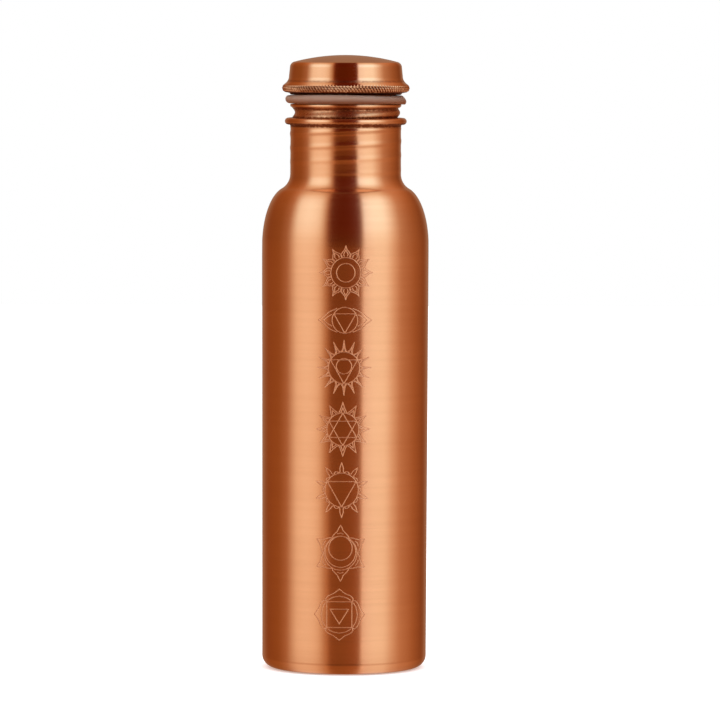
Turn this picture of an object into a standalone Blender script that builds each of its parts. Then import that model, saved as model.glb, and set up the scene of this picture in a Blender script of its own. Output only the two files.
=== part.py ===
"""Copper water bottle: a spun copper body, a screw-in copper cap and a silicone sealing ring.

Metres, +Z up. The origin is the middle of the base, on the surface that the bottle stands on.
Every sheet-metal piece is drawn as its outer face, spun round Z, and thickened inwards.
"""

from math import asin, atan, atan2, cos, hypot, pi, radians, sin, sqrt, tan

import bmesh
import bpy

SEGMENTS = 36                      # facets round every turned piece
MERGE = 0.000001
SHARP_ANGLE = radians(40)

# Driving dimensions.
SHEET = 0.0006                     # thickness of the copper sheet
TOUCHING_GAP = 0.0003              # left between pieces that touch

BODY_RADIUS = 0.0371               # at the top of the straight wall
BASE_RADIUS = 0.0366               # the wall is drawn in slightly towards the base
BASE_CORNER = 0.0053               # radius of the corner round the base
BASE_RING = (0.0225, 0.0200)       # where the flat standing ring ends and the recess is full
BASE_RECESS = 0.0015               # depth of the recess inside the standing ring

SHOULDER_BOTTOM = 0.1883
SHOULDER_RISE = 0.0261             # the shoulder is a quarter of an ellipse, this tall
SHOULDER_REACH = 0.0115            # and this wide
SHOULDER_END_SLOPE = radians(60)   # from upright, where the shoulder turns into the neck
SHOULDER_STEPS = 8

NECK_RADIUS = 0.02465
NECK_BEAD_RADIUS = 0.0271          # widest part of the bead rolled round the neck
NECK_BEAD_HEIGHT = 0.0034
NECK_BEAD_MIDDLE = 0.2431
CREASE = 0.0002                    # how far the bead's two creases are rounded
MOUTH = 0.2512                     # height of the rim
LIP_BAND = 0.0007                  # upright band just under the rim
LIP_HEIGHT = 0.0027                # from the rim down to the full depth of the thread

THREAD_PITCH = 0.0063
THREAD_DEPTH = 0.0015
THREAD_ROOT_RADIUS = 0.02265       # outer face of the neck between the ridges
THREAD_CLEARANCE = 0.0005          # between the neck's thread and the plug's
THREAD_CREST_HEIGHT = 0.24745      # height of a ridge on the +X side
BODY_THREAD_ROWS = 5
PLUG_THREAD_ROWS = 16

SEAL_THICKNESS = 0.0036
SEAL_RADIUS = 0.0269
SEAL_BEVEL = 0.0003                # at the edges of its hole

CAP_TOP = 0.2730                   # top of the dome
CAP_DOME_RADIUS = 0.0890
CAP_CORNER = 0.0026
CAP_WALL_TOP_RADIUS = 0.0249
CAP_WALL_FOOT_RADIUS = 0.0253
HEM_RADIUS = 0.0284                # widest part of the rolled hem that is gripped
HEM_ROLL = 0.0019                  # radius of that roll in section
HEM_TOP_SLOPE = radians(50)        # from upright, where the wall flares out into the roll
HEM_FLARE = 0.0040                 # radius of the flare
HEM_FOOT_RADIUS = 0.0246           # the step under the roll, which presses on the seal
HEM_STEP = 0.0007                  # height of that step
HEM_STEP_DRAFT = 0.0005            # and how far it flares on the way up
HEM_STEP_GAP = 0.0003              # from the top of the step up to the roll

PLUG_BOTTOM = 0.2365
PLUG_STEP_ROUND = 0.0008           # radius of the two bends of its step
PLUG_CORNER = 0.0015
PLUG_RUN_OUT = 0.0016              # height over which the plug's ridge fades at each end
PLUG_COLLAR_TOP = 0.2655

# Sizes that follow from them.
SEAL_BOTTOM = MOUTH + TOUCHING_GAP
SEAL_TOP = SEAL_BOTTOM + SEAL_THICKNESS
CAP_BOTTOM = SEAL_TOP + TOUCHING_GAP
PLUG_ROOT_RADIUS = THREAD_ROOT_RADIUS - SHEET - THREAD_CLEARANCE
PLUG_COLLAR_RADIUS = CAP_WALL_TOP_RADIUS - SHEET - TOUCHING_GAP
PLUG_STEP = CAP_BOTTOM + SHEET + TOUCHING_GAP
SEAL_HOLE_RADIUS = PLUG_ROOT_RADIUS + TOUCHING_GAP
HEM_HOLE_RADIUS = PLUG_ROOT_RADIUS + 2 * TOUCHING_GAP


def clear_scene():
    """Remove everything that a new file starts with."""
    for thing in list(bpy.data.objects):
        bpy.data.objects.remove(thing, do_unlink=True)


def principled(name, colour, roughness, metallic):
    """Make a Principled material."""
    material = bpy.data.materials.new(name)
    material.use_nodes = True
    shader = material.node_tree.nodes["Principled BSDF"]
    shader.inputs["Base Color"].default_value = (*colour, 1.0)
    shader.inputs["Roughness"].default_value = roughness
    shader.inputs["Metallic"].default_value = metallic
    material.diffuse_color = (*colour, 1.0)
    return material


def arc(centre, radius, start, end, steps):
    """Points on a circle in the (radius, height) plane, between two angles from +X."""
    points = []
    for step in range(steps + 1):
        angle = start + (end - start) * step / steps
        points.append((centre[0] + radius * cos(angle), centre[1] + radius * sin(angle)))
    return points


def spin(profile):
    """Turn a line of (radius, height) points round Z."""
    mesh = bmesh.new()
    corners = [mesh.verts.new((radius, 0.0, height)) for radius, height in profile]
    edges = [mesh.edges.new(pair) for pair in zip(corners, corners[1:])]
    bmesh.ops.spin(
        mesh, geom=corners + edges, cent=(0, 0, 0), axis=(0, 0, 1),
        angle=2 * pi, steps=SEGMENTS, use_merge=True,
    )
    bmesh.ops.remove_doubles(mesh, verts=mesh.verts, dist=MERGE)
    bmesh.ops.recalc_face_normals(mesh, faces=mesh.faces)
    return mesh


def ramp(value, start, end):
    """Rise smoothly from 0 at start to 1 at end."""
    part = min(max((value - start) / (end - start), 0.0), 1.0)
    return part * part * (3 - 2 * part)


def roll_thread(mesh, root_radius, low, high, run_out):
    """Push a right-hand helical ridge out of the spun face between two heights."""
    for vertex in mesh.verts:
        x, y, z = vertex.co
        radius = hypot(x, y)
        if not low <= z <= high or radius < root_radius - MERGE:
            continue
        turn = 2 * pi * (z - THREAD_CREST_HEIGHT) / THREAD_PITCH - atan2(y, x)
        height = THREAD_DEPTH * (0.5 + 0.5 * cos(turn))
        if run_out:
            height *= ramp(z, low, low + run_out) * ramp(z, high, high - run_out)
        grow = max(1.0, (root_radius + height) / radius)
        vertex.co.x = x * grow
        vertex.co.y = y * grow


def add_piece(name, mesh, material, thickness=0.0):
    """Put a mesh in the scene, thickened inwards when it is sheet metal."""
    data = bpy.data.meshes.new(name)
    mesh.to_mesh(data)
    mesh.free()
    data.materials.append(material)
    data.shade_smooth()
    data.set_sharp_from_angle(angle=SHARP_ANGLE)
    piece = bpy.data.objects.new(name, data)
    bpy.context.scene.collection.objects.link(piece)
    if thickness:
        sheet = piece.modifiers.new("sheet", "SOLIDIFY")
        sheet.thickness = thickness
        sheet.offset = -1.0
        sheet.use_even_offset = True
    return piece


def shoulder_line():
    """Quarter ellipse of the shoulder and the hollow curve up into the neck, top to bottom."""
    end = atan(tan(SHOULDER_END_SLOPE) * SHOULDER_RISE / SHOULDER_REACH)
    ellipse = [
        (BODY_RADIUS - SHOULDER_REACH * (1 - cos(angle)), SHOULDER_BOTTOM + SHOULDER_RISE * sin(angle))
        for angle in (end * step / SHOULDER_STEPS for step in range(SHOULDER_STEPS, -1, -1))
    ]
    top_radius, top_height = ellipse[0]
    hollow = (top_radius - NECK_RADIUS) / (1 - cos(SHOULDER_END_SLOPE))
    centre = (NECK_RADIUS + hollow, top_height + hollow * sin(SHOULDER_END_SLOPE))
    return arc(centre, hollow, pi, pi + SHOULDER_END_SLOPE, 4)[:-1] + ellipse


def body_line():
    """Outer face of the body, from the rim of the mouth down to the middle of the base."""
    thread_depth = NECK_RADIUS - THREAD_ROOT_RADIUS
    curl = LIP_HEIGHT - LIP_BAND
    lip = [
        (NECK_RADIUS, MOUTH),
        (NECK_RADIUS, MOUTH - LIP_BAND),
        (THREAD_ROOT_RADIUS + 0.55 * thread_depth, MOUTH - LIP_BAND - 0.3 * curl),
        (THREAD_ROOT_RADIUS + 0.15 * thread_depth, MOUTH - LIP_BAND - 0.6 * curl),
    ]
    roll = NECK_BEAD_HEIGHT / 2
    bead_centre = (NECK_BEAD_RADIUS - roll, NECK_BEAD_MIDDLE)
    thread_foot = NECK_BEAD_MIDDLE + roll
    thread_top = MOUTH - LIP_HEIGHT
    thread = [
        (THREAD_ROOT_RADIUS, thread_foot + (thread_top - thread_foot) * row / BODY_THREAD_ROWS)
        for row in range(BODY_THREAD_ROWS, 0, -1)
    ]
    crease = [(THREAD_ROOT_RADIUS + CREASE, thread_foot + CREASE / 2)]
    bead = arc(bead_centre, roll, radians(90), radians(-90), 6)
    neck_top = [
        (NECK_RADIUS + CREASE, NECK_BEAD_MIDDLE - roll - CREASE / 2),
        (NECK_RADIUS, NECK_BEAD_MIDDLE - roll - 3 * CREASE),
    ]
    corner = arc((BASE_RADIUS - BASE_CORNER, BASE_CORNER), BASE_CORNER, 0.0, radians(-90), 5)
    base = [
        (BASE_RING[0], 0.0),
        (BASE_RING[1], BASE_RECESS),
        (0.0, BASE_RECESS),
    ]
    return lip + thread + crease + bead + neck_top + shoulder_line() + corner + base


def make_body(copper):
    """The bottle itself, spun from one sheet: base, wall, shoulder, neck, bead and thread."""
    mesh = spin(body_line())
    roll_thread(mesh, THREAD_ROOT_RADIUS, NECK_BEAD_MIDDLE, MOUTH, 0.0)
    add_piece("bottle_body", mesh, copper, SHEET)


def cap_line():
    """Outer face of the cap, from the middle of the dome down and in under the hem."""
    corner_radius = CAP_WALL_TOP_RADIUS - CAP_CORNER
    reach = CAP_DOME_RADIUS - CAP_CORNER
    dome_half = asin(corner_radius / reach)
    dome_centre = (0.0, CAP_TOP - CAP_DOME_RADIUS)
    corner_centre = (corner_radius, dome_centre[1] + sqrt(reach ** 2 - corner_radius ** 2))
    dome = arc(dome_centre, CAP_DOME_RADIUS, radians(90), radians(90) - dome_half, 4)
    corner = arc(corner_centre, CAP_CORNER, radians(90) - dome_half, 0.0, 4)

    roll_centre = (HEM_RADIUS - HEM_ROLL, CAP_BOTTOM + HEM_STEP + HEM_STEP_GAP + HEM_ROLL)
    roll = arc(roll_centre, HEM_ROLL, HEM_TOP_SLOPE, radians(-90), 7)
    flare_reach = HEM_FLARE * (1 - cos(HEM_TOP_SLOPE))
    slope_radius = CAP_WALL_FOOT_RADIUS + flare_reach
    slope_height = roll[0][1] + (roll[0][0] - slope_radius) / tan(HEM_TOP_SLOPE)
    flare_centre = (
        CAP_WALL_FOOT_RADIUS + HEM_FLARE,
        slope_height + HEM_FLARE * sin(HEM_TOP_SLOPE),
    )
    flare = arc(flare_centre, HEM_FLARE, pi, pi + HEM_TOP_SLOPE, 3)
    foot = [
        (HEM_FOOT_RADIUS + HEM_STEP_DRAFT, CAP_BOTTOM + HEM_STEP),
        (HEM_FOOT_RADIUS, CAP_BOTTOM),
        (HEM_HOLE_RADIUS, CAP_BOTTOM),
    ]
    return dome[:-1] + corner + flare + roll + foot


def make_cap_shell(copper):
    """The outer cap: dome, wall and the hem rolled in under the plug's step."""
    add_piece("cap_shell", spin(cap_line()), copper, SHEET)


def plug_line():
    """Outer face of the plug: collar inside the cap, step, shank, thread and closed end."""
    collar_centre = (PLUG_COLLAR_RADIUS - PLUG_STEP_ROUND, PLUG_STEP + PLUG_STEP_ROUND)
    shank_centre = (PLUG_ROOT_RADIUS + PLUG_STEP_ROUND, PLUG_STEP - PLUG_STEP_ROUND)
    collar = [(PLUG_COLLAR_RADIUS, PLUG_COLLAR_TOP)]
    collar += arc(collar_centre, PLUG_STEP_ROUND, 0.0, radians(-90), 3)
    shank = arc(shank_centre, PLUG_STEP_ROUND, radians(90), radians(180), 3)
    thread_bottom = PLUG_BOTTOM + PLUG_CORNER
    thread = [
        (PLUG_ROOT_RADIUS, MOUTH + (thread_bottom - MOUTH) * row / PLUG_THREAD_ROWS)
        for row in range(PLUG_THREAD_ROWS)
    ]
    corner = arc(
        (PLUG_ROOT_RADIUS - PLUG_CORNER, thread_bottom), PLUG_CORNER, 0.0, radians(-90), 3,
    )
    return collar + shank + thread + corner + [(0.0, PLUG_BOTTOM)]


def make_plug(copper):
    """The threaded cup that screws into the neck; its step is trapped by the cap's hem."""
    mesh = spin(plug_line())
    roll_thread(mesh, PLUG_ROOT_RADIUS, PLUG_BOTTOM + PLUG_CORNER, MOUTH, PLUG_RUN_OUT)
    add_piece("cap_threaded_plug", mesh, copper, SHEET)


def make_seal(silicone):
    """The moulded ring between the cap's hem and the rim, with a full round outer edge."""
    round_radius = SEAL_THICKNESS / 2
    edge = arc(
        (SEAL_RADIUS - round_radius, SEAL_BOTTOM + round_radius), round_radius,
        radians(90), radians(-90), 6,
    )
    section = [
        (SEAL_HOLE_RADIUS, SEAL_BOTTOM + SEAL_BEVEL),
        (SEAL_HOLE_RADIUS, SEAL_TOP - SEAL_BEVEL),
        (SEAL_HOLE_RADIUS + SEAL_BEVEL, SEAL_TOP),
        *edge,
        (SEAL_HOLE_RADIUS + SEAL_BEVEL, SEAL_BOTTOM),
        (SEAL_HOLE_RADIUS, SEAL_BOTTOM + SEAL_BEVEL),
    ]
    add_piece("seal_ring", spin(section), silicone)


def main():
    """Build the four pieces."""
    clear_scene()
    copper = principled("copper", (0.86, 0.42, 0.22), 0.28, 1.0)
    silicone = principled("silicone", (0.72, 0.60, 0.54), 0.5, 0.0)
    make_body(copper)
    make_seal(silicone)
    make_plug(copper)
    make_cap_shell(copper)


main()
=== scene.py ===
"""Looks of the copper water bottle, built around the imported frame.

Metres, +Z up, with the engraved side towards -Y. Each piece is turned round Z from its section, a line
of (radius, height) points. Places come from the frame, and the sizes inside a piece are named below.
"""

from math import asin, atan, atan2, ceil, cos, hypot, pi, radians, sin, sqrt, tan

import bpy
import numpy as np
from mathutils import Matrix, Vector
from mathutils.geometry import delaunay_2d_cdt


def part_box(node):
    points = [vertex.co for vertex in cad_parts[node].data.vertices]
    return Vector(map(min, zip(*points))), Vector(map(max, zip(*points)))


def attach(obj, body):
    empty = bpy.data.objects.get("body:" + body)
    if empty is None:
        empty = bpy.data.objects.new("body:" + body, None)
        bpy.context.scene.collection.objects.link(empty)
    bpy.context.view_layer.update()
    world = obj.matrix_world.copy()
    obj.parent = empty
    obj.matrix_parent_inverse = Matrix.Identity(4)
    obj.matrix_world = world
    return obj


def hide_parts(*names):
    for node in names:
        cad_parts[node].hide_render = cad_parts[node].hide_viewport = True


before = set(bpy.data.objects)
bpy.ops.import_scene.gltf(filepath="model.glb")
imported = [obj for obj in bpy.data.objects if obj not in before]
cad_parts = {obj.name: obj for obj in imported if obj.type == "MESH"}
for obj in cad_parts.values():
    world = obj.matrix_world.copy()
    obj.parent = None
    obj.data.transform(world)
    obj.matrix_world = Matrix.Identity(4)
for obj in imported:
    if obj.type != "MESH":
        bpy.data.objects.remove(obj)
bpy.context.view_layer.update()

# From the frame.
BODY_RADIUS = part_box("bottle_body")[1].x
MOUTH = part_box("bottle_body")[1].z
SEAL_BOTTOM, SEAL_TOP = (corner.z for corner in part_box("seal_ring"))
SEAL_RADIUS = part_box("seal_ring")[1].x
CAP_BOTTOM, CAP_TOP = (corner.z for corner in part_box("cap_shell"))
HEM_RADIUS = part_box("cap_shell")[1].x
PLUG_BOTTOM, PLUG_COLLAR_TOP = (corner.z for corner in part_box("cap_threaded_plug"))
PLUG_COLLAR_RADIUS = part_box("cap_threaded_plug")[1].x

SHEET = 0.0006                     # thickness of the copper
FRONT = radians(-90)               # every ring starts at the front, so that the engraving is central
ROUND = 200                        # facets round a turned piece
MERGE = 1e-7
SHARP = radians(40)
LONGEST_MITRE = 5 / 3              # how far a sharp corner may stretch a line's offset

# The bottle.
BASE_RADIUS = 0.0366               # the wall is drawn in slightly towards the base
BASE_CORNER = 0.0053               # radius of the corner round the base
BASE_RING = (0.0225, 0.0200)       # where the flat standing ring ends and the recess is full
BASE_RECESS = 0.0015               # depth of the recess
SHOULDER_BOTTOM = 0.1883
SHOULDER_RISE = 0.0261             # the shoulder is a quarter of an ellipse, this tall
SHOULDER_REACH = 0.0115            # and this wide
SHOULDER_END_SLOPE = radians(60)   # from upright, where the shoulder turns into the neck
NECK_RADIUS = 0.02465
BEAD_RADIUS = 0.0271               # widest part of the bead rolled round the neck
BEAD_ROLL = 0.0015                 # radius of the bead in section
BEAD_MIDDLE = 0.2436
# The lip, from the rim down: how far each point is out from the thread's root, and down from the rim.
LIP = (
    (0.0017, 0.0), (0.0020, 0.0001), (0.0020, 0.0009),
    (0.0014, 0.0014), (0.0004, 0.0020), (0.0, 0.0027),
)
# The bead's creases: out from the thread's root and up from the bead, out from the neck and down from it.
UPPER_CREASE = ((0.0, 0.0004), (0.0002, 0.0001), (0.0007, 0.0))
LOWER_CREASE = ((0.0003, 0.0001), (0.0001, 0.0003), (0.0, 0.0006))
THREAD_PITCH = 0.0063
THREAD_DEPTH = 0.0015
THREAD_ROOT = 0.02265              # outer face of the neck between the ridges
THREAD_CREST_HEIGHT = 0.24745      # height of a ridge on the +X side
RIPPLE_DEPTH = 0.00022             # the thread's faint marks further down the neck
RIPPLE_BALANCE = 0.3               # share of their depth that lies below the neck's own surface
RIPPLE_BOTTOM = (0.2150, 0.2400)   # heights over which they grow from nothing, going up
RIPPLE_TOP = (0.2408, 0.2402)      # and going down from the bead

# The cap, its plug and the sealing ring.
CAP_DOME_RADIUS = 0.0890
CAP_CORNER = 0.0026
CAP_WALL_TOP_RADIUS = 0.0249
CAP_WALL_FOOT_RADIUS = 0.0253
HEM_ROLL = 0.0019                  # radius of the rolled hem in section
HEM_TOP_SLOPE = radians(50)        # from upright, where the wall flares out into the roll
HEM_FLARE = 0.0040                 # radius of the flare
HEM_FOOT_RADIUS = 0.0246           # the step under the roll, which presses on the ring
HEM_STEP = 0.0007
# The step under the hem's roll: out from the foot's radius and up from the cap's lowest face.
HEM_FOOT = ((0.0005, HEM_STEP), (0.0001, 0.0002), (-0.0001, 0.0))
HEM_GAP = 0.0003                   # between the hem's step and its roll
HEM_HOLE_RADIUS = 0.02215
KNURL_TEETH = 120
KNURL_ROUND = 8 * KNURL_TEETH      # facets round the knurl
KNURL_DEPTH = 0.00050
KNURL_GROOVE = 0.75                # share of a tooth that its groove takes
KNURL_LEAN = 24.0                  # how far a groove turns about the axis on its way up, radians per metre
KNURL_CROSSING = 0.5               # depth of the grooves that lean the other way, against the first ones
KNURL_TOP = (radians(52), radians(34))        # angles on the roll over which they grow, going down
KNURL_FOOT = (radians(-72), radians(-50))     # and going up
PLUG_ROOT = 0.02155
PLUG_CORNER = 0.0015
PLUG_STEP = 0.2563
PLUG_STEP_ROUND = 0.0008
PLUG_RUN_OUT = 0.0016              # height over which the plug's ridge fades at each end
SEAL_HOLE_RADIUS = 0.02185
SEAL_BEVEL = 0.0003
# How far the ring's free edge lifts: all round, towards +X and +Y, and twice round.
SEAL_WAVE = (-0.00007, -0.00055, -0.00089, -0.00038)
SEAL_FREE_RADIUS = 0.0248          # the ring is free of the rim and the hem outside this radius
SEAL_GRIP = 0.0002                 # how far inside that radius the ring starts to lift

# Tarnish and painted shade: 0 on clean, unshaded copper, 1 and more where it is dark.
MOST_OXIDE_AND_SHADE = 1.6
# oxide and painted shade over the thread, above the bead
THREAD_OXIDE_AND_SHADE = 0.45
THREAD_OXIDE_AND_SHADE_FOOT = 0.0004       # it fades away this far above and below the top of the bead
UNDARKENED_LIP = (0.0008, 0.0016)       # depths below the rim over which it starts
UNDARKENED_BEAD = 0.0006                # the bead is free of oxide and painted shade from this far out, down to this far below its middle
# Lines of oxide and painted shade in the creases round the neck: strength, height and width.
NECK_OXIDE_AND_SHADE_LINES = (
    (1.0, BEAD_MIDDLE + BEAD_ROLL + 0.0002, 0.0006),
    (2.2, BEAD_MIDDLE - BEAD_ROLL - 0.0001, 0.0008),
    (0.6, MOUTH - 0.0022, 0.0006),
)
FLARE_OXIDE_AND_SHADE = (0.6, 0.0009, 0.0005)            # a line of oxide and painted shade on the flare: strength, height above the foot of the flare, and width
GROOVE_OXIDE_AND_SHADE = 1.6                          # oxide and painted shade at the bottom of the knurl's grooves
HEM_UNDERSIDE_SHADE = (1.3, 0.55, 0.95)                 # painted shade on the underside of the hem's roll: strength, and shares of the roll over which it grows
PLUG_OXIDE_AND_SHADE = 0.5                            # oxide and painted shade between the plug's ridges

# The engraving.
PATCH_TOP = 0.1905
PATCH_BOTTOM = 0.0135
PATCH_ROWS = 30
PATCH_HALF = 12                    # columns of the wall on each side of the front
LINE_WIDTH = 0.00042
LINE_DEPTH = 0.00006
LINE_STEP = 0.00038                # between the points of a round line
LONG_STEP = 0.0009                 # and of a straight one
SAME_POINT = 0.004                 # millimetres within which two points of the patch are one
DISTANCE_REACH = 0.002             # how far from a point an engraved line is looked for
DISTANCE_BATCH = 200               # points that are looked at together
COLUMN_LEAN = 0.0163               # the column of symbols leans a little to -X towards the base
COLUMN_TURNS_AT = 0.155
SLOPE_STEP = 0.00001               # over which the wall's slope is measured


# ---------------------------------------------------------------- lines of (radius, height) points

def arc(centre, radius, start, end, steps):
    """Points on a circle between two angles from +X, in radians."""
    angles = np.linspace(start, end, steps + 1)
    return [(centre[0] + radius * cos(a), centre[1] + radius * sin(a)) for a in angles]


def straight(start, end, steps):
    """Points from start up to but not including end."""
    return [
        (start[0] + (end[0] - start[0]) * k / steps, start[1] + (end[1] - start[1]) * k / steps)
        for k in range(steps)
    ]


def curve(points, per_span):
    """A smooth line through points, with per_span steps between each two."""
    line = np.array([2 * np.array(points[0]) - points[1], *points, 2 * np.array(points[-1]) - points[-2]])
    smooth = []
    for a, b, c, d in zip(line, line[1:], line[2:], line[3:]):
        for t in np.arange(per_span) / per_span:
            smooth.append(0.5 * (
                2 * b + (c - a) * t + (2 * a - 5 * b + 4 * c - d) * t ** 2
                + (3 * b - a - 3 * c + d) * t ** 3
            ))
    smooth.append(line[-2])
    return [tuple(point) for point in smooth]


def normals_along(line, closed=False):
    """Unit vectors to the left of a line at each of its points, and how much a corner stretches them."""
    points = np.array(line)
    steps = np.diff(np.vstack([points, points[:1]]) if closed else points, axis=0)
    steps /= np.linalg.norm(steps, axis=1)[:, None]
    sides = np.stack([-steps[:, 1], steps[:, 0]], axis=1)
    if closed:
        before, after = np.roll(sides, 1, axis=0), sides
    else:
        before, after = np.vstack([sides[:1], sides]), np.vstack([sides, sides[-1:]])
    middle = before + after
    length = np.maximum(np.linalg.norm(middle, axis=1), MERGE)[:, None]
    return middle / length, np.minimum(2 / length, LONGEST_MITRE)


def thickened(outer):
    """A sheet's whole section: its outer line, top to bottom, and its inner line back up.

    The inner line, which is out of sight, has half as many points.
    """
    normals, stretch = normals_along(outer)
    inner = np.array(outer) + normals * stretch * -SHEET
    return outer + [tuple(point) for point in (*inner[:0:-2], inner[0])]


# ------------------------------------------------------------------------------- turned meshes

def ramp(value, start, end):
    """Rise smoothly from 0 at start to 1 at end."""
    part = np.clip((value - start) / (end - start), 0.0, 1.0)
    return part * part * (3 - 2 * part)


def band(value, middle, width):
    """1 in the middle, fading away on both sides."""
    return np.exp(-((value - middle) / width) ** 2)


def helix(height, angle):
    """1 on a ridge of the right-hand thread and 0 halfway between two ridges."""
    return 0.5 + 0.5 * np.cos(2 * pi * (height - THREAD_CREST_HEIGHT) / THREAD_PITCH - angle)


def bridge(upper, lower):
    """Faces between two rings of vertex numbers. One may be a point, or several times as fine."""
    coarse = min(len(ring) for ring in (upper, lower) if len(ring) > 1)
    faces = []
    for step in range(coarse):
        face = []
        for ring, order in ((lower, 1), (upper, -1)):
            share = len(ring) // coarse
            stretch = [ring[(step * share + k) % len(ring)] for k in range(share + 1)]
            face += stretch[::order]
        faces.append(face)
    return faces


class Turned:
    """A mesh turned from a closed section, ring by ring. Shape moves the points of each ring."""

    def __init__(self, section, shape, counts=None):
        self.points = []
        self.rings = []
        self.section = section
        for row, (radius, height) in enumerate(section):
            count = 1 if radius < MERGE else (counts[row] if counts else ROUND)
            angles = FRONT + np.arange(count) * 2 * pi / count
            radii = np.full(count, radius)
            heights = np.full(count, height)
            if count > 1:
                radii, heights = shape(row, radii, heights, angles)
            self.rings.append(list(range(len(self.points), len(self.points) + count)))
            self.points += list(zip(radii * np.cos(angles), radii * np.sin(angles), heights))
        pairs = zip(self.rings, self.rings[1:] + self.rings[:1])
        self.bands = [bridge(*pair) for pair in pairs if len(pair[0]) + len(pair[1]) > 2]

    def mesh(self, name, extra_faces=()):
        """The finished mesh."""
        data = bpy.data.meshes.new(name)
        faces = [face for band in self.bands for face in band] + list(extra_faces)
        data.from_pydata([tuple(point) for point in self.points], [], faces)
        data.shade_smooth()
        return data


def add_piece(name, data, body, node, materials):
    """Put a mesh in the scene in place of its CAD node."""
    for material in materials:
        data.materials.append(material)
    piece = bpy.data.objects.new(name, data)
    bpy.context.scene.collection.objects.link(piece)
    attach(piece, body)
    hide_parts(node)


def set_oxide_and_shade(data, amount):
    """Store how dark tarnishing and painted shade make each vertex, for the material."""
    layer = data.attributes.new("oxide_and_shade", "FLOAT", "POINT")
    layer.data.foreach_set("value", np.clip(amount, 0.0, MOST_OXIDE_AND_SHADE).astype(np.float32))


def coordinates(data):
    """Radius, height and angle of every vertex."""
    flat = np.zeros(len(data.vertices) * 3)
    data.vertices.foreach_get("co", flat)
    x, y, z = flat.reshape(-1, 3).T
    return np.hypot(x, y), z, np.arctan2(y, x)


# ------------------------------------------------------------------------------- the engraving

def circle(radius, centre=(0.0, 0.0)):
    """A round line, in millimetres, closed."""
    steps = ceil(2 * pi * radius / (LINE_STEP * 1000))
    return arc(centre, radius, 0.0, 2 * pi, steps)[:-1], True


def polygon(points):
    """Straight lines between points, closed, with extra points on the long sides."""
    line = []
    for start, end in zip(points, points[1:] + points[:1]):
        line += straight(start, end, ceil(hypot(end[0] - start[0], end[1] - start[1]) / (LONG_STEP * 1000)))
    return line, True


def regular(radius, corners, first):
    """A regular polygon in a circle, with its first corner at an angle in degrees."""
    angles = [radians(first + 360 * k / corners) for k in range(corners)]
    return polygon([(radius * cos(a), radius * sin(a)) for a in angles])


def petal(half):
    """An open line up one side to the tip and down the other, from the right half of a petal."""
    side = curve(half, 5)
    return side + [(-x, y) for x, y in side[-2::-1]], False


def around(count, line, first=0.0):
    """Copies of a line turned about the middle."""
    points, closed = line
    copies = []
    for k in range(count):
        turn = radians(first + 360 * k / count)
        copies.append((
            [(x * cos(turn) - y * sin(turn), x * sin(turn) + y * cos(turn)) for x, y in points],
            closed,
        ))
    return copies


def mirrored_four_ways(points):
    """An open line and its copies across both axes."""
    line = curve(points, 8)
    return [([(x * side, y * end) for x, y in line], False) for side in (1, -1) for end in (1, -1)]


# Each symbol's lines in millimetres about its own middle, with +Y up.
def sun():
    flames = around(12, petal([(1.75, 6.55), (2.2, 7.6), (1.5, 9.0), (0.5, 10.3), (0, 11.8)]))
    hearts = around(12, petal([(0.75, 7.3), (0.95, 8.2), (0.45, 9.2), (0, 10.0)]))
    return [circle(6.7), circle(4.1)] + flames + hearts


def eye():
    lids = mirrored_four_ways([(3.6, 5.2), (6.8, 3.8), (9.4, 1.7), (11.8, 0.0)])
    inner_lids = mirrored_four_ways([(5.9, 2.5), (7.8, 1.5), (9.7, 0.0)])
    return [circle(5.7), regular(5.7, 3, -90)] + lids + inner_lids


def spiked_wheel():
    spikes = around(16, petal([(1.35, 6.9), (0.6, 8.2), (0.22, 10.2), (0, 12.1)]))
    hearts = around(16, petal([(0.72, 7.2), (0.34, 8.2), (0, 9.2)]))
    return [circle(7.0), regular(7.0, 3, -90), circle(3.4, (0.0, 0.7))] + spikes + hearts


def six_pointed_star():
    petals = around(12, petal([(1.85, 7.0), (1.3, 8.2), (0.6, 10.0), (0, 11.9)]))
    hearts = around(12, petal([(0.9, 7.3), (0.5, 8.3), (0, 9.5)]))
    return [circle(7.2), regular(7.2, 3, 90), regular(7.2, 3, -90)] + petals + hearts


def ten_petals():
    petals = around(10, petal([(1.4, 7.4), (0.75, 8.3), (0.75, 9.8), (0, 12.1)]))
    scallops = around(10, petal([(0.95, 7.5), (0.75, 8.2), (0, 8.5)]), 18)
    return [circle(7.5), regular(7.5, 3, -90)] + petals + scallops


def crescent():
    petals = around(6, petal([(4.1, 6.3), (3.2, 7.9), (1.3, 9.9), (0.75, 11.1), (0, 12.3)]))
    hearts = around(6, petal([(1.2, 8.5), (0.6, 8.75), (0, 8.85)]))
    return [circle(7.5), circle(6.9, (0.0, 0.6)), circle(5.3, (0.0, 2.2))] + petals + hearts


def square():
    petals = around(4, petal([(5.7, 5.7), (6.2, 7.0), (5.0, 8.3), (2.6, 9.4), (0, 11.3)]))
    hearts = around(4, petal([(5.2, 6.4), (3.0, 7.6), (0, 8.2)]))
    return [regular(8.06, 4, 45), polygon([(-4.2, 2.4), (4.2, 2.4), (0.0, -4.1)])] + petals + hearts


SYMBOLS = (
    (sun, 0.1779), (eye, 0.1570), (spiked_wheel, 0.1361), (six_pointed_star, 0.1090),
    (ten_petals, 0.0822), (crescent, 0.0543), (square, 0.0271),
)


def engraved_lines():
    """Every line of the column on the flat wall: points of (across, up) in metres, and if it closes."""
    lines = []
    for symbol, height in SYMBOLS:
        across = COLUMN_LEAN * (height - COLUMN_TURNS_AT)
        for points, closed in symbol():
            lines.append((np.array(points) * 0.001 + (across, height), closed))
    return lines


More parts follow.
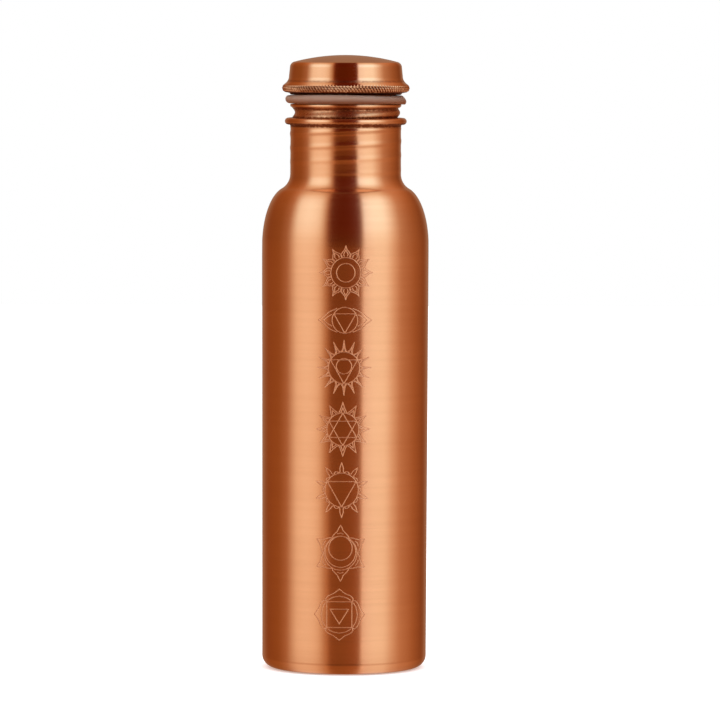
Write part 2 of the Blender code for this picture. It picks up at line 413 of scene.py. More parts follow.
def groove_outline(points, closed):
    """The two edges of a groove, each closed, or one closed edge with round ends."""
    normals, stretch = normals_along(points, closed)
    half = LINE_WIDTH / 2
    left = points + normals * stretch * half
    right = points - normals * stretch * half
    if closed:
        return [left, right]
    caps = []
    for end, normal in ((points[-1], normals[-1]), (points[0], -normals[0])):
        along = np.array((normal[1], -normal[0]))
        turns = (radians(45), 0.0, radians(-45))
        caps.append([end + half * (cos(t) * along + sin(t) * normal) for t in turns])
    return [np.vstack([left, caps[0], right[::-1], caps[1]])]


class Distance:
    """Distance from points on the flat wall to the nearest engraved line."""

    def __init__(self, lines):
        starts, ends = [], []
        for points, closed in lines:
            following = np.roll(points, -1, axis=0)
            last = len(points) if closed else len(points) - 1
            starts.append(points[:last])
            ends.append(following[:last])
        self.starts = np.vstack(starts)
        self.steps = np.vstack(ends) - self.starts
        self.squares = (self.steps ** 2).sum(axis=1)
        self.order = np.argsort(self.starts[:, 1])
        self.heights = self.starts[self.order, 1]

    def __call__(self, points):
        reach = DISTANCE_REACH
        found = np.full(len(points), reach)
        order = np.argsort(points[:, 1])
        for batch in np.array_split(order, max(1, len(points) // DISTANCE_BATCH)):
            low, high = points[batch, 1].min() - reach, points[batch, 1].max() + reach
            near = self.order[np.searchsorted(self.heights, low):np.searchsorted(self.heights, high)]
            if not len(near):
                continue
            offset = points[batch, None] - self.starts[near]
            part = np.clip((offset * self.steps[near]).sum(axis=2) / self.squares[near], 0.0, 1.0)
            gap = offset - part[..., None] * self.steps[near]
            found[batch] = np.minimum(reach, np.sqrt((gap ** 2).sum(axis=2)).min(axis=1))
        return found


def flatten_patch(border, lines, distance):
    """Triangulate the flat wall inside border, with the grooves' edges and bottoms as edges.

    Returns the vertices, the faces, and which of the points that went in became each vertex.
    """
    points = [np.array(border)]
    edges = [(k, (k + 1) % len(border)) for k in range(len(border))]
    total = len(border)
    for line, closed in lines:
        chains = [(line, closed)] + [(edge, True) for edge in groove_outline(line, closed)]
        for chain, loops in chains:
            count = len(chain)
            edges += [(total + k, total + k + 1) for k in range(count - 1)]
            if loops:
                edges.append((total + count - 1, total))
            points.append(chain)
            total += count
    width = border[0][0]
    across = np.linspace(-width, width, 2 * PATCH_HALF + 1)[1:-1]
    up = np.arange(PATCH_BOTTOM + LONG_STEP, PATCH_TOP - LONG_STEP, 2 * LONG_STEP)
    grid = np.array([(x, z) for z in up for x in across])
    points.append(grid[distance(grid) > LINE_WIDTH])
    flat = np.vstack(points) * 1000
    vertices, _, faces, origins, *_ = delaunay_2d_cdt(
        [Vector(point) for point in flat], edges, [], 0, SAME_POINT, True,
    )
    return np.array([tuple(vertex) for vertex in vertices]) / 1000, faces, origins


def engrave(turned, top_row):
    """Cut the column of symbols into the front of the wall. Returns its faces and which are grooves."""
    bottom_row = top_row + PATCH_ROWS
    for row in range(top_row, bottom_row):
        turned.bands[row] = turned.bands[row][PATCH_HALF:ROUND - PATCH_HALF]
    corners = []
    for row in range(top_row, bottom_row):
        corners.append((row, PATCH_HALF))
    for column in range(PATCH_HALF, -PATCH_HALF, -1):
        corners.append((bottom_row, column))
    for row in range(bottom_row, top_row, -1):
        corners.append((row, -PATCH_HALF))
    for column in range(-PATCH_HALF, PATCH_HALF):
        corners.append((top_row, column))
    width = 2 * pi * BODY_RADIUS / ROUND
    border = [(column * width, turned.section[row][1]) for row, column in corners]
    border_vertices = [turned.rings[row][column] for row, column in corners]

    lines = engraved_lines()
    distance = Distance(lines)
    flat, faces, origins = flatten_patch(border, lines, distance)
    depth = LINE_DEPTH * np.clip(1 - distance(flat) / (LINE_WIDTH / 2), 0.0, 1.0)
    numbers = []
    for point, deep, origin in zip(flat, depth, origins):
        on_border = [k for k in origin if k < len(border)]
        if on_border:
            numbers.append(border_vertices[on_border[0]])
            continue
        angle = FRONT + point[0] / BODY_RADIUS
        radius = body_radius(point[1]) - deep
        numbers.append(len(turned.points))
        turned.points.append((radius * cos(angle), radius * sin(angle), point[1]))

    patch, is_groove = [], []
    for face in faces:
        patch.append([numbers[k] for k in face])
        is_groove.append(max(depth[k] for k in face) > LINE_DEPTH / 20)
    return patch, is_groove


# ------------------------------------------------------------------------------- the bottle

def body_radius(height):
    """Outer radius of the wall and of the lower shoulder."""
    if height > SHOULDER_BOTTOM:
        part = (height - SHOULDER_BOTTOM) / SHOULDER_RISE
        return BODY_RADIUS - SHOULDER_REACH * (1 - sqrt(1 - part * part))
    part = (height - BASE_CORNER) / (SHOULDER_BOTTOM - BASE_CORNER)
    return BASE_RADIUS + (BODY_RADIUS - BASE_RADIUS) * part


def shoulder_line(steps):
    """From the foot of the neck down the hollow and the quarter ellipse to the patch's top."""
    end = atan(tan(SHOULDER_END_SLOPE) * SHOULDER_RISE / SHOULDER_REACH)
    start = asin((PATCH_TOP - SHOULDER_BOTTOM) / SHOULDER_RISE)
    ellipse = [
        (BODY_RADIUS - SHOULDER_REACH * (1 - cos(a)), SHOULDER_BOTTOM + SHOULDER_RISE * sin(a))
        for a in np.linspace(end, start, steps + 1)
    ]
    hollow = (ellipse[0][0] - NECK_RADIUS) / (1 - cos(SHOULDER_END_SLOPE))
    centre = (NECK_RADIUS + hollow, ellipse[0][1] + hollow * sin(SHOULDER_END_SLOPE))
    return arc(centre, hollow, pi, pi + SHOULDER_END_SLOPE, steps // 2)[:-1] + ellipse[:-1]


def bottle_outer_line():
    """From the rim down to the middle of the base. Returns the line and the patch's first row."""
    bead_centre = (BEAD_RADIUS - BEAD_ROLL, BEAD_MIDDLE)
    bead_top, bead_bottom = BEAD_MIDDLE + BEAD_ROLL, BEAD_MIDDLE - BEAD_ROLL
    lip = curve([(THREAD_ROOT + out, MOUTH - down) for out, down in LIP], 3)
    crease = [(THREAD_ROOT + out, bead_top + up) for out, up in UPPER_CREASE]
    thread = straight(lip.pop(), crease[0], 24)
    crease = curve([*crease, (bead_centre[0], bead_top)], 3)[:-1]
    bead = arc(bead_centre, BEAD_ROLL, radians(90), radians(-90), 20)
    under_bead = [(NECK_RADIUS + out, bead_bottom - down) for out, down in LOWER_CREASE]
    shoulder = shoulder_line(24)
    neck = straight(under_bead.pop(), shoulder[0], 84)
    upper = lip + thread + crease + bead + under_bead + neck + shoulder
    wall = [
        (body_radius(height), height)
        for height in np.linspace(PATCH_TOP, PATCH_BOTTOM, PATCH_ROWS + 1)
    ]
    corner = arc((BASE_RADIUS - BASE_CORNER, BASE_CORNER), BASE_CORNER, 0.0, radians(-90), 12)
    recess = [
        (radius, BASE_RECESS * ramp(radius, *BASE_RING)) for radius in np.linspace(*BASE_RING, 9)
    ]
    return upper + wall + corner + recess + [(0.0, BASE_RECESS)], len(upper)


def make_bottle(copper, engraving):
    outer, top_row = bottle_outer_line()
    section = thickened(outer)
    is_inner = np.arange(len(section)) >= len(outer)

    def shape(row, radii, heights, angles):
        shift = SHEET if is_inner[row] else 0.0
        height = heights[0]
        ridge = helix(heights, angles)
        if height > BEAD_MIDDLE + BEAD_ROLL - SHEET:
            radii = np.maximum(radii + shift, THREAD_ROOT + THREAD_DEPTH * ridge) - shift
        if not is_inner[row]:
            strength = ramp(height, *RIPPLE_BOTTOM) * ramp(height, *RIPPLE_TOP)
            radii = radii + RIPPLE_DEPTH * strength * (ridge ** 3 - RIPPLE_BALANCE)
        return radii, heights

    turned = Turned(section, shape)
    patch, is_groove = engrave(turned, top_row)
    data = turned.mesh("bottle_body_fine", patch)
    first = len(data.polygons) - len(patch)
    material_numbers = np.zeros(len(data.polygons), dtype=np.int32)
    material_numbers[first:] = is_groove
    data.polygons.foreach_set("material_index", material_numbers)
    set_patch_normals(data, first, is_groove)

    set_oxide_and_shade(data, neck_oxide_and_shade(*coordinates(data)[:2]))
    add_piece("bottle_body_turned", data, "bottle", "bottle_body", [copper, engraving])


def neck_oxide_and_shade(radius, height):
    """Tarnish and painted shade on the thread and in the creases, while the lip and the bead's outer face
    stay free of them.
    """
    above_bead = height - BEAD_MIDDLE - BEAD_ROLL
    below_rim = MOUTH - height
    oxide_and_shade = THREAD_OXIDE_AND_SHADE * ramp(above_bead, -THREAD_OXIDE_AND_SHADE_FOOT, THREAD_OXIDE_AND_SHADE_FOOT)
    oxide_and_shade *= ramp(below_rim, *UNDARKENED_LIP)
    for strength, middle, width in NECK_OXIDE_AND_SHADE_LINES:
        oxide_and_shade += strength * band(height, middle, width)
    return oxide_and_shade * ((radius < NECK_RADIUS + UNDARKENED_BEAD) | (height < BEAD_MIDDLE - UNDARKENED_BEAD))


def set_patch_normals(data, first, is_groove):
    """Shade the wall between the grooves as the smooth wall it is, and the grooves flat."""
    normals = np.zeros((len(data.loops), 3))
    points = np.zeros(len(data.vertices) * 3)
    data.vertices.foreach_get("co", points)
    points = points.reshape(-1, 3)
    for number, groove in zip(range(first, len(data.polygons)), is_groove):
        face = data.polygons[number]
        if groove:
            normals[face.loop_start:face.loop_start + face.loop_total] = face.normal
            continue
        for loop in face.loop_indices:
            x, y, z = points[data.loops[loop].vertex_index]
            slope = (body_radius(z + SLOPE_STEP) - body_radius(z - SLOPE_STEP)) / (2 * SLOPE_STEP)
            normal = np.array((x, y, -slope * hypot(x, y)))
            normals[loop] = normal / np.linalg.norm(normal)
    data.normals_split_custom_set([tuple(normal) for normal in normals])


# ------------------------------------------------------------------------------- cap, plug and ring

def make_cap(copper):
    corner_radius = CAP_WALL_TOP_RADIUS - CAP_CORNER
    reach = CAP_DOME_RADIUS - CAP_CORNER
    dome_half = asin(corner_radius / reach)
    dome_centre = (0.0, CAP_TOP - CAP_DOME_RADIUS)
    corner_centre = (corner_radius, dome_centre[1] + sqrt(reach ** 2 - corner_radius ** 2))
    dome = arc(dome_centre, CAP_DOME_RADIUS, radians(90), radians(90) - dome_half, 24)[:-1]
    corner = arc(corner_centre, CAP_CORNER, radians(90) - dome_half, 0.0, 12)

    roll_centre = (HEM_RADIUS - HEM_ROLL, CAP_BOTTOM + HEM_STEP + HEM_ROLL + HEM_GAP)
    roll = arc(roll_centre, HEM_ROLL, HEM_TOP_SLOPE, radians(-90), 22)
    slope_radius = CAP_WALL_FOOT_RADIUS + HEM_FLARE * (1 - cos(HEM_TOP_SLOPE))
    slope_height = roll[0][1] + (roll[0][0] - slope_radius) / tan(HEM_TOP_SLOPE)
    flare_centre = (CAP_WALL_FOOT_RADIUS + HEM_FLARE, slope_height + HEM_FLARE * sin(HEM_TOP_SLOPE))
    flare = arc(flare_centre, HEM_FLARE, pi, pi + HEM_TOP_SLOPE, 10)
    foot = [(HEM_FOOT_RADIUS + out, CAP_BOTTOM + up) for out, up in HEM_FOOT]
    outer = dome + corner + flare + roll + foot + [(HEM_HOLE_RADIUS, CAP_BOTTOM)]
    first = len(dome) + len(corner) + len(flare)
    is_knurled = range(first, first + len(roll))
    section = thickened(outer)
    counts = [KNURL_ROUND if row in is_knurled else KNURL_TEETH for row in range(len(section))]

    def shape(row, radii, heights, angles):
        if row not in is_knurled:
            return radii, heights
        radius, height = section[row]
        out = np.array((radius - roll_centre[0], height - roll_centre[1])) / HEM_ROLL
        facing = atan2(out[1], out[0])
        face = ramp(facing, *KNURL_TOP) * ramp(facing, *KNURL_FOOT)
        groove = 0.0
        for lean, share in ((KNURL_LEAN, 1.0), (-KNURL_LEAN, KNURL_CROSSING)):
            phase = KNURL_TEETH * (angles + lean * (height - roll_centre[1])) / (2 * pi) % 1.0
            one = np.clip(1 - np.abs(phase - 0.5) / (KNURL_GROOVE / 2), 0.0, 1.0)
            groove = np.maximum(groove, share * one)
        cut = KNURL_DEPTH * face * groove
        return radii - cut * out[0], heights - cut * out[1]

    data = Turned(section, shape, counts).mesh("cap_shell_fine")
    data.set_sharp_from_angle(angle=SHARP)
    # Oxide and painted shade deep in the knurl's grooves and in a line on the flare, and painted shade
    # under the roll.
    radius, height = coordinates(data)[:2]
    depth = HEM_ROLL - np.hypot(radius - roll_centre[0], height - roll_centre[1])
    in_grooves = (np.abs(depth) < KNURL_DEPTH + MERGE) * depth / KNURL_DEPTH
    strength, above_flare, width = FLARE_OXIDE_AND_SHADE
    flare_oxide_and_shade = strength * band(height, slope_height + above_flare, width)
    strength, start, end = HEM_UNDERSIDE_SHADE
    shade_beneath_roll = strength * ramp((roll_centre[1] - height) / HEM_ROLL, start, end)
    set_oxide_and_shade(data, GROOVE_OXIDE_AND_SHADE * in_grooves + flare_oxide_and_shade + shade_beneath_roll)
    add_piece("cap_shell_turned", data, "cap", "cap_shell", [copper])


def make_plug(copper):
    collar_centre = (PLUG_COLLAR_RADIUS - PLUG_STEP_ROUND, PLUG_STEP + PLUG_STEP_ROUND)
    shank_centre = (PLUG_ROOT + PLUG_STEP_ROUND, PLUG_STEP - PLUG_STEP_ROUND)
    collar = [(PLUG_COLLAR_RADIUS, PLUG_COLLAR_TOP)]
    collar += arc(collar_centre, PLUG_STEP_ROUND, 0.0, radians(-90), 6)
    shank = arc(shank_centre, PLUG_STEP_ROUND, radians(90), radians(180), 6)
    thread_bottom = PLUG_BOTTOM + PLUG_CORNER
    thread = straight((PLUG_ROOT, MOUTH), (PLUG_ROOT, thread_bottom), 80)
    corner = arc((PLUG_ROOT - PLUG_CORNER, thread_bottom), PLUG_CORNER, 0.0, radians(-90), 6)
    outer = collar + shank + thread + corner + [(0.0, PLUG_BOTTOM)]
    section = thickened(outer)

    def shape(row, radii, heights, angles):
        height = heights[0]
        strength = ramp(height, thread_bottom, thread_bottom + PLUG_RUN_OUT)
        strength *= ramp(height, MOUTH, MOUTH - PLUG_RUN_OUT)
        return radii + THREAD_DEPTH * strength * helix(heights, angles), heights

    data = Turned(section, shape).mesh("cap_threaded_plug_fine")
    data.set_sharp_from_angle(angle=SHARP)
    height, angle = coordinates(data)[1:]
    # Oxide and painted shade between the thread's ridges, below the rim.
    set_oxide_and_shade(data, PLUG_OXIDE_AND_SHADE * (1 - helix(height, angle)) * (height < MOUTH))
    add_piece("cap_threaded_plug_turned", data, "cap", "cap_threaded_plug", [copper])


def make_seal(silicone):
    half = (SEAL_TOP - SEAL_BOTTOM) / 2
    edge = arc((SEAL_RADIUS - half, SEAL_BOTTOM + half), half, radians(90), radians(-90), 20)
    section = [
        (SEAL_HOLE_RADIUS, SEAL_TOP - SEAL_BEVEL), (SEAL_HOLE_RADIUS + SEAL_BEVEL, SEAL_TOP),
        (SEAL_FREE_RADIUS, SEAL_TOP), *edge, (SEAL_FREE_RADIUS, SEAL_BOTTOM),
        (SEAL_HOLE_RADIUS + SEAL_BEVEL, SEAL_BOTTOM), (SEAL_HOLE_RADIUS, SEAL_BOTTOM + SEAL_BEVEL),
    ]

    def shape(row, radii, heights, angles):
        free = ramp(radii, SEAL_FREE_RADIUS - SEAL_GRIP, SEAL_RADIUS)
        level, across, back, twice = SEAL_WAVE
        lift = level + across * np.cos(angles) + back * np.sin(angles) + twice * np.cos(2 * angles)
        return radii, heights + lift * free

    data = Turned(section, shape).mesh("seal_ring_fine")
    data.set_sharp_from_angle(angle=SHARP)
    height = coordinates(data)[1]
    # Painted coppery shade on the ring's lower part, where it sits on the rim.
    set_oxide_and_shade(data, ramp(height, SEAL_BOTTOM + 1.9 * half, SEAL_BOTTOM + 0.2 * half))
    add_piece("seal_ring_moulded", data, "seal", "seal_ring", [silicone])


# ------------------------------------------------------------------------------- materials

# Dark colour of oxide and of painted shade on the copper.
OXIDE_AND_SHADE_COLOUR = (0.22, 0.06, 0.018, 1.0)


class Nodes:
    """The node tree of a material or a world, with short calls to add and join nodes."""

    def __init__(self, owner, shader):
        owner.use_nodes = True
        self.tree = owner.node_tree
        self.shader = self.tree.nodes[shader]

    def add(self, kind, settings=(), inputs=()):
        node = self.tree.nodes.new(kind)
        for name, value in dict(settings).items():
            setattr(node, name, value)
        for name, value in dict(inputs).items():
            self.put(node.inputs[name], value)
        return node

    def put(self, socket, value):
        """Give a socket a link, or the same value all over."""
        if isinstance(value, bpy.types.NodeSocket):
            self.tree.links.new(value, socket)
        else:
            socket.default_value = value

    def feed(self, name, value):
        """Give one of the shader's sockets a link or a value."""
        self.put(self.shader.inputs[name], value)

    def noise(self, scale, detail, stretch=(1.0, 1.0, 1.0)):
        """Noise over the piece's own coordinates, which are metres in the frame."""
        where = self.add("ShaderNodeTexCoord").outputs["Object"]
        mapping = self.add("ShaderNodeMapping", inputs={"Vector": where, "Scale": stretch})
        noise = self.add("ShaderNodeTexNoise", inputs={
            "Vector": mapping.outputs["Vector"], "Scale": scale, "Detail": detail,
        })
        return noise.outputs["Fac"]

    def between(self, value, low, high, start=0.0, end=1.0, steps="LINEAR"):
        """Map a value's range from low to high onto start to end."""
        return self.add("ShaderNodeMapRange", {"interpolation_type": steps}, {
            "Value": value, "From Min": low, "From Max": high, "To Min": start, "To Max": end,
        }).outputs["Result"]

    def maths(self, operation, first, second):
        return self.add(
            "ShaderNodeMath", {"operation": operation}, {0: first, 1: second},
        ).outputs[0]

    def mix(self, share, first, second, blend="MIX"):
        """Mix two colours, or blend them another way."""
        return self.add("ShaderNodeMix", {"data_type": "RGBA", "blend_type": blend}, {
            0: share, 6: first, 7: second,
        }).outputs[2]

    def colours(self, position, stops):
        """Colours between stops at positions from 0 to 1."""
        node = self.add("ShaderNodeValToRGB", inputs={"Fac": position})
        elements = node.color_ramp.elements
        elements[0].position, elements[-1].position = stops[0][0], stops[-1][0]
        for where, colour in stops[1:-1]:
            elements.new(where).color = (*colour, 1.0)
        elements[0].color = (*stops[0][1], 1.0)
        elements[-1].color = (*stops[-1][1], 1.0)
        return node.outputs["Color"]


def copper_material(name, colour, roughness, line_depth, anisotropy):
    """Turned copper: fine rings round the axis, slight changes of tone, and oxide and painted shade in the
    creases.
    """
    material = bpy.data.materials.new(name)
    nodes = Nodes(material, "Principled BSDF")
    rings = nodes.noise(1.0, 3.0, (18.0, 18.0, 2600.0))
    broad_rings = nodes.noise(1.0, 2.0, (9.0, 9.0, 420.0))
    cloud = nodes.noise(28.0, 4.0)
    # oxide and painted shade, stored on the mesh, broken up into patches
    oxide_and_shade = nodes.add("ShaderNodeAttribute", {"attribute_name": "oxide_and_shade"}).outputs["Fac"]
    patches = nodes.between(nodes.noise(900.0, 3.0), 0.3, 0.6, 0.35, 1.0)
    oxide_and_shade = nodes.maths("MINIMUM", nodes.maths("MULTIPLY", oxide_and_shade, patches), 1.0)

    light = (*[channel * 1.04 for channel in colour], 1.0)
    dark = (*[channel * share for channel, share in zip(colour, (0.95, 0.90, 0.86))], 1.0)
    tone = nodes.between(cloud, 0.3, 0.7, 0.1, 0.6)
    tone = nodes.maths("ADD", tone, nodes.between(broad_rings, 0.3, 0.7, 0.0, 0.3))
    body = nodes.mix(tone, dark, light)
    nodes.feed("Base Color", nodes.mix(oxide_and_shade, body, OXIDE_AND_SHADE_COLOUR))
    nodes.feed("Metallic", 1.0)
    rough = nodes.between(rings, 0.3, 0.7, roughness * 0.88, roughness * 1.12)
    nodes.feed("Roughness", nodes.maths("ADD", rough, nodes.maths("MULTIPLY", oxide_and_shade, 0.25)))
    nodes.feed("Anisotropic", anisotropy)
    nodes.feed("Anisotropic Rotation", 0.25)
    tangent = nodes.add("ShaderNodeTangent", {"direction_type": "RADIAL", "axis": "Z"})
    nodes.feed("Tangent", tangent.outputs["Tangent"])
    bump = nodes.add("ShaderNodeBump", inputs={
        "Height": nodes.maths("ADD", rings, nodes.maths("MULTIPLY", broad_rings, 1.1)),
        "Strength": 1.0, "Distance": line_depth,
    })
    nodes.feed("Normal", bump.outputs["Normal"])
    return material


def engraving_material():
    """Freshly cut copper: brighter and matt."""
    material = bpy.data.materials.new("engraved_lines")
    nodes = Nodes(material, "Principled BSDF")
    speckle = nodes.noise(4000.0, 2.0)
    nodes.feed("Base Color", nodes.mix(speckle, (1.0, 0.46, 0.22, 1.0), (1.0, 0.56, 0.31, 1.0)))
    nodes.feed("Metallic", 1.0)
    nodes.feed("Roughness", nodes.between(speckle, 0.3, 0.7, 0.42, 0.56))
    return material


def silicone_material():
    """Milky silicone, with painted coppery shade on its lower part, close to the rim."""
    material = bpy.data.materials.new("milky_silicone")
    nodes = Nodes(material, "Principled BSDF")
    cloud = nodes.noise(220.0, 3.0)
    milky = nodes.mix(cloud, (0.36, 0.220, 0.155, 1.0), (0.42, 0.27, 0.19, 1.0))
    # painted coppery shade on the ring's lower part
    coppery_shade = nodes.add("ShaderNodeAttribute", {"attribute_name": "oxide_and_shade"}).outputs["Fac"]
    nodes.feed("Base Color", nodes.mix(coppery_shade, milky, (0.16, 0.045, 0.015, 1.0)))
    nodes.feed("Roughness", nodes.between(cloud, 0.3, 0.7, 0.36, 0.5))
    nodes.feed("Subsurface Weight", 0.35)
    nodes.feed("Subsurface Radius", (1.0, 0.6, 0.45))
    nodes.feed("Subsurface Scale", 0.002)
    nodes.feed("IOR", 1.41)
    bump = nodes.add("ShaderNodeBump", inputs={
        "Height": nodes.noise(900.0, 2.0), "Strength": 0.3, "Distance": 0.00003,
    })
    nodes.feed("Normal", bump.outputs["Normal"])
    return material


# ------------------------------------------------------------------------------- studio

# What the copper reflects, by the azimuth that it comes from: degrees to the right of the front.
STUDIO = (
    (-180, (0.42, 0.28, 0.20)), (-160, (0.34, 0.19, 0.12)), (-134, (0.26, 0.09, 0.03)),
    (-104, (0.30, 0.12, 0.04)), (-87, (0.42, 0.21, 0.12)), (-70, (0.92, 0.78, 0.74)),
    (-56, (0.97, 0.87, 0.86)), (-44, (0.95, 0.82, 0.78)), (-36, (0.86, 0.68, 0.60)),
    (-27, (0.52, 0.29, 0.18)), (-20.5, (0.17, 0.065, 0.025)), (-5, (0.16, 0.065, 0.025)),
    (8, (0.18, 0.07, 0.03)), (23, (0.22, 0.09, 0.04)), (25, (0.95, 0.84, 0.90)),
    (42, (1.03, 1.00, 1.04)), (57, (1.02, 0.98, 1.00)), (70, (0.80, 0.60, 0.52)),
    (84, (0.55, 0.32, 0.22)), (112, (0.38, 0.17, 0.08)), (138, (0.24, 0.085, 0.03)),
    (160, (0.34, 0.19, 0.12)), (180, (0.42, 0.28, 0.20)),
)
# How that light changes with the tilt of a surface that mirrors it, in degrees up from facing level:
# colours that multiply the table's, for the dark strip in the middle, the bright panels and the rest.
STRIP_EDGE = (27, 23)              # azimuths from outside the strip to inside it
PANEL_REDS = (0.45, 0.80)          # reds in the table from outside the panels to inside them
STRIP_TILTS = (
    (-60.0, (2.0, 1.9, 1.7)), (-16.0, (2.0, 1.9, 1.7)), (-9.0, (0.6, 0.45, 0.25)),
    (-5.5, (1.5, 1.4, 1.2)), (-3.4, (3.2, 3.2, 3.2)), (-2.3, (1.7, 1.5, 1.2)),
    (-1.5, (0.76, 0.60, 0.34)), (-0.6, (0.50, 0.28, 0.10)), (-0.2, (0.34, 0.20, 0.05)),
    (3.0, (0.66, 0.28, 0.10)), (8.0, (0.66, 0.23, 0.09)), (40.0, (0.66, 0.22, 0.08)),
)
PANEL_TILTS = (
    (-60.0, (0.92, 0.85, 0.80)), (-16.0, (0.96, 0.92, 0.88)), (-9.0, (0.60, 0.42, 0.33)),
    (-5.0, (1.06, 1.10, 1.08)), (-1.5, (1.05, 1.04, 1.03)), (-0.6, (1.10, 1.30, 1.42)),
    (3.0, (1.08, 1.20, 1.26)), (10.0, (1.20, 1.60, 1.95)), (28.0, (1.20, 1.60, 1.95)),
    (42.0, (0.94, 0.92, 0.86)), (55.0, (0.82, 0.70, 0.60)),
)
EDGE_TILTS = (
    (-60.0, (1.1, 1.1, 1.1)), (-16.0, (1.2, 1.2, 1.2)), (-9.0, (0.90, 0.82, 0.75)),
    (-4.0, (1.22, 1.18, 1.10)), (-1.5, (0.93, 0.88, 0.83)), (0.0, (0.95, 0.92, 0.90)),
    (8.0, (0.95, 0.92, 0.90)), (50.0, (1.3, 1.2, 1.1)),
)
# Where the light fades to one colour: facing down, by tilt, facing up, by height on the mirror ball,
# and straight behind the bottle, by how far back it comes from.
UNDERSIDE = (radians(-60), radians(-85), (0.17, 0.045, 0.012))
DOME = (0.80, 0.94, (0.36, 0.235, 0.165))
BACK = (0.86, 0.955, (0.36, 0.21, 0.135))
LIGHT_SCALE = 3.2                  # keeps the colours in the ramps within 1

CAMERA_DISTANCE = 2.43
CAMERA_HEIGHT = 0.292
CAMERA_ACROSS = 0.0067             # sets the bottle a little to the left in the picture
CAMERA_LENS = 273.0
CAMERA_ROLL = radians(0.2)
AIM_HEIGHT = 0.1372
FLOOR_SIZE = 6.0
FLOOR_DROP = 0.0002                # keeps the floor clear of the base
CONTACT_SHADE = (0.031, 0.041)     # radii between which the painted shadow under the base fades away
CONTACT_LIGHT = 0.25               # share of the floor's glow left in that painted shadow


def scaled(colour):
    """A light's colour as the ramps hold it."""
    return [channel / LIGHT_SCALE for channel in colour]


def make_world():
    """A white world to the camera, and to the copper two tall soft panels with a dark strip between.

    The light is laid out on a mirror ball seen from the front: by the azimuth and the tilt of the
    surface that would mirror it to the camera. That carries the panels over the top of the bottle.
    """
    world = bpy.data.worlds.new("studio")
    bpy.context.scene.world = world
    nodes = Nodes(world, "Background")
    where = nodes.add("ShaderNodeTexCoord").outputs["Generated"]
    halfway = nodes.add("ShaderNodeVectorMath", {"operation": "ADD"}, {0: where, 1: (0.0, -1.0, 0.0)})
    ball = nodes.add("ShaderNodeVectorMath", {"operation": "NORMALIZE"}, {0: halfway.outputs[0]})
    x, y, z = nodes.add("ShaderNodeSeparateXYZ", inputs={0: ball.outputs[0]}).outputs
    azimuth = nodes.maths("MULTIPLY", nodes.maths("ARCTAN2", x, nodes.maths("MULTIPLY", y, -1.0)), 2.0)
    stops = [(degrees / 360 + 0.5, colour) for degrees, colour in STUDIO]
    panels = nodes.colours(nodes.between(azimuth, -pi, pi), stops)

    tilt = nodes.maths("ARCSINE", z, 0.0)
    position = nodes.between(tilt, -pi / 2, pi / 2)
    by_tilt = []
    for table in (STRIP_TILTS, PANEL_TILTS, EDGE_TILTS):
        stops = [(degrees / 180 + 0.5, scaled(colour)) for degrees, colour in table]
        by_tilt.append(nodes.colours(position, stops))
    strip, inside, outside = by_tilt
    red = nodes.add("ShaderNodeSeparateColor", inputs={0: panels}).outputs[0]
    in_panels = nodes.between(red, *PANEL_REDS)
    in_strip = nodes.between(nodes.maths("ABSOLUTE", azimuth, 0.0), *map(radians, STRIP_EDGE))
    changes = nodes.mix(in_strip, nodes.mix(in_panels, outside, inside), strip)
    light = nodes.mix(1.0, panels, changes, "MULTIPLY")
    back = nodes.add("ShaderNodeSeparateXYZ", inputs={0: where}).outputs[1]
    for value, start, end, colour in ((tilt, *UNDERSIDE), (z, *DOME), (back, *BACK)):
        share = nodes.between(value, start, end, steps="SMOOTHSTEP")
        light = nodes.mix(share, light, (*scaled(colour), 1.0))
    nodes.feed("Color", light)
    nodes.feed("Strength", LIGHT_SCALE)
    white = nodes.add("ShaderNodeBackground", inputs={"Color": (1.0, 1.0, 1.0, 1.0)})
    mix = nodes.add("ShaderNodeMixShader", inputs={
        0: nodes.add("ShaderNodeLightPath").outputs["Is Camera Ray"],
        1: nodes.shader.outputs[0], 2: white.outputs[0],
    })
    nodes.tree.links.new(mix.outputs[0], nodes.tree.nodes["World Output"].inputs["Surface"])


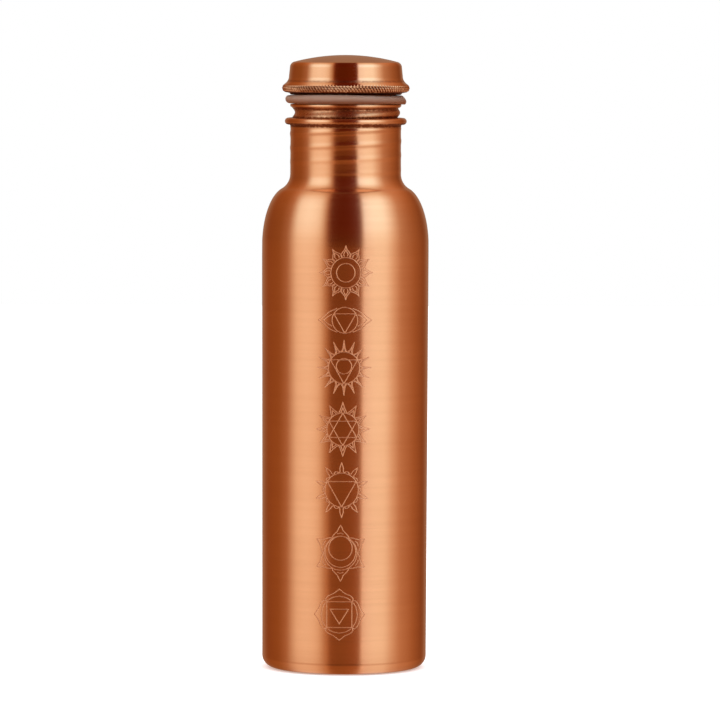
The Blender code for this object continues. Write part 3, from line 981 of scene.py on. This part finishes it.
def make_floor():
    """A pale floor that the light and its own glow wash out, except for a painted shadow close under the
    bottle.
    """
    data = bpy.data.meshes.new("floor")
    half = FLOOR_SIZE / 2
    corners = [(-half, -half, 0), (half, -half, 0), (half, half, 0), (-half, half, 0)]
    data.from_pydata(corners, [], [(0, 1, 2, 3)])
    floor = bpy.data.objects.new("floor", data)
    bpy.context.scene.collection.objects.link(floor)
    floor.location.z = -FLOOR_DROP
    floor.visible_glossy = False
    material = bpy.data.materials.new("pale_floor")
    nodes = Nodes(material, "Principled BSDF")
    nodes.feed("Base Color", (0.90, 0.90, 0.90, 1.0))
    nodes.feed("Roughness", 0.9)
    nodes.feed("Specular IOR Level", 0.0)
    nodes.feed("Emission Color", (1.0, 1.0, 1.0, 1.0))
    # A painted shadow: the floor's glow drops close round the base.
    where = nodes.add("ShaderNodeTexCoord").outputs["Object"]
    from_axis = nodes.add("ShaderNodeVectorMath", {"operation": "LENGTH"}, {0: where}).outputs["Value"]
    light = nodes.between(from_axis, *CONTACT_SHADE, CONTACT_LIGHT, 1.0, "SMOOTHSTEP")
    nodes.feed("Emission Strength", light)
    data.materials.append(material)


def make_camera():
    data = bpy.data.cameras.new("camera")
    data.lens = CAMERA_LENS
    data.sensor_width = 36.0
    data.clip_end = 20.0
    camera = bpy.data.objects.new("camera", data)
    bpy.context.scene.collection.objects.link(camera)
    camera.location = (CAMERA_ACROSS, -CAMERA_DISTANCE, CAMERA_HEIGHT)
    aim = Vector((CAMERA_ACROSS, 0.0, AIM_HEIGHT)) - camera.location
    turn = aim.to_track_quat("-Z", "Y").to_matrix().to_4x4()
    camera.rotation_euler = (turn @ Matrix.Rotation(CAMERA_ROLL, 4, "Z")).to_euler()
    bpy.context.scene.camera = camera


def main():
    body_copper = copper_material("satin_copper", (0.885, 0.470, 0.240), 0.21, 0.000002, 0.5)
    cap_copper = copper_material("polished_copper", (0.900, 0.500, 0.265), 0.13, 0.000001, 0.4)
    plug_copper = copper_material("plain_copper", (0.86, 0.47, 0.27), 0.34, 0.000003, 0.3)
    make_bottle(body_copper, engraving_material())
    make_cap(cap_copper)
    make_plug(plug_copper)
    make_seal(silicone_material())
    make_world()
    make_floor()
    make_camera()
    bpy.context.scene.view_settings.view_transform = "Standard"


main()
